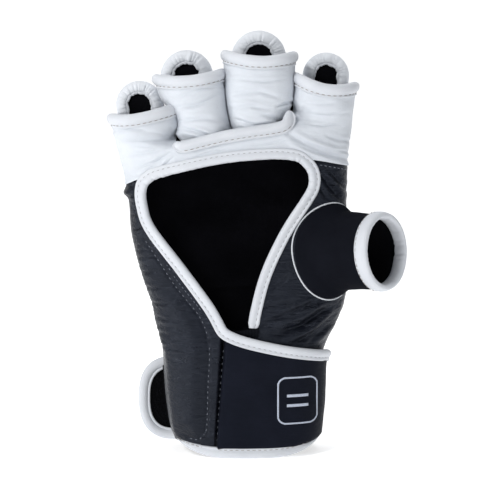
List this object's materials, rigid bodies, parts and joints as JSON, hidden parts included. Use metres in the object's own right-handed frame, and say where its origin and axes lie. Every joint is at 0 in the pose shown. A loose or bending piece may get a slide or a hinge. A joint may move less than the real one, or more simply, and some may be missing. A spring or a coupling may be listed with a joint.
{
  "type": "open-finger grappling glove",
  "caption": "Right-hand open-finger grappling glove, palm open in a shield shape, padded knuckles and fingers, thumb sleeve and wraparound wrist strap.",
  "frame": {"origin": "centre of the glove's box in plan, on the plane of the wrist hem it stands on", "axes": "+Z from the wrist to the fingertips, +X to the thumb side, -Y out of the palm, +Y out of the back of the hand"},
  "size_m": [0.1543, 0.077, 0.2258],
  "materials": {
    "white_leather": "full-grain, semi-gloss",
    "white_binding": "smooth, semi-gloss",
    "black_leather": "grained, semi-gloss",
    "foam": "closed-cell foam, matte",
    "black_knit": "brushed knit, matte",
    "black_neoprene": "neoprene faced with jersey, matte",
    "hook_tape": "hook and loop tape, matte",
    "black_elastic": "woven elastic, matte"
  },
  "bodies": {
    "hand": {"palm_panel": "white_leather", "pinky_side_panel": "black_leather", "thumb_side_panel": "black_leather", "palm_opening_binding": "white_binding", "heel_pad": "foam", "wrist_gusset": "black_elastic", "finger_bar_binding": "white_binding", "hand_lining": "black_knit", "back_cover": "black_leather", "back_foam": "foam", "knuckle_cover": "white_leather", "knuckle_foam": "foam", "thumb_seam_piping": "white_binding", "cuff_hem_binding": "white_binding", "loop_patch": "hook_tape"},
    "pinky": {"pinky_pad_cover": "white_leather", "pinky_pad_foam": "foam", "pinky_pad_lining": "black_knit", "pinky_loop": "white_leather", "pinky_loop_binding": "white_binding"},
    "ring": {"ring_pad_cover": "white_leather", "ring_pad_foam": "foam", "ring_pad_lining": "black_knit", "ring_loop": "white_leather", "ring_loop_binding": "white_binding"},
    "middle": {"middle_pad_cover": "white_leather", "middle_pad_foam": "foam", "middle_pad_lining": "black_knit", "middle_loop": "white_leather", "middle_loop_binding": "white_binding"},
    "index": {"index_pad_cover": "white_leather", "index_pad_foam": "foam", "index_pad_lining": "black_knit", "index_loop": "white_leather", "index_loop_binding": "white_binding"},
    "thumb": {"thumb_sleeve": "black_neoprene", "thumb_binding": "white_binding"},
    "strap_front": {"strap_front_panel": "black_leather", "strap_front_top_binding": "white_binding", "strap_front_hem_binding": "white_binding"},
    "strap_wrap": {"strap_wrap_panel": "black_leather", "strap_wrap_top_binding": "white_binding", "strap_wrap_hem_binding": "white_binding"},
    "strap_tail": {"strap_tail_panel": "black_leather", "strap_tail_binding": "white_binding", "hook_patch": "hook_tape"}
  },
  "joints": [
    {"name": "pinky_flex", "type": "hinge", "parent": "hand", "child": "pinky", "pos_m": [-0.05836, 0.00351, 0.16], "axis": [1, 0, 0], "range_deg": [-5, 40], "stiffness_Nm_per_rad": 0.05},
    {"name": "ring_flex", "type": "hinge", "parent": "hand", "child": "ring", "pos_m": [-0.02676, 0.00351, 0.168], "axis": [1, 0, 0], "range_deg": [-5, 45], "stiffness_Nm_per_rad": 0.05},
    {"name": "middle_flex", "type": "hinge", "parent": "hand", "child": "middle", "pos_m": [0.00044, 0.00351, 0.171], "axis": [1, 0, 0], "range_deg": [-5, 45], "stiffness_Nm_per_rad": 0.05},
    {"name": "index_flex", "type": "hinge", "parent": "hand", "child": "index", "pos_m": [0.03404, 0.00351, 0.168], "axis": [1, 0, 0], "range_deg": [-5, 45], "stiffness_Nm_per_rad": 0.05},
    {"name": "thumb_swing", "type": "hinge", "parent": "hand", "child": "thumb", "pos_m": [0.03444, -0.00279, 0.1085], "axis": [0, 0, -1], "range_deg": [-6, 20], "stiffness_Nm_per_rad": 0.05},
    {"name": "strap_open", "type": "hinge", "parent": "strap_front", "child": "strap_wrap", "pos_m": [0.03966, -0.00317, 0.055], "axis": [0, 0, -1], "range_deg": [0, 120]},
    {"name": "strap_lift", "type": "hinge", "parent": "hand", "child": "strap_front", "pos_m": [-0.02049, -0.02309, 0.03], "axis": [0, 0, -1], "range_deg": [0, 48]},
    {"name": "tail_peel", "type": "hinge", "parent": "strap_wrap", "child": "strap_tail", "pos_m": [-0.04406, 0.02715, 0.05], "axis": [0, 0, -1], "range_deg": [-10, 100]}
  ],
  "couplings": [
    {"joint": "strap_lift", "follows": "strap_open", "ratio": 0.4}
  ]
}
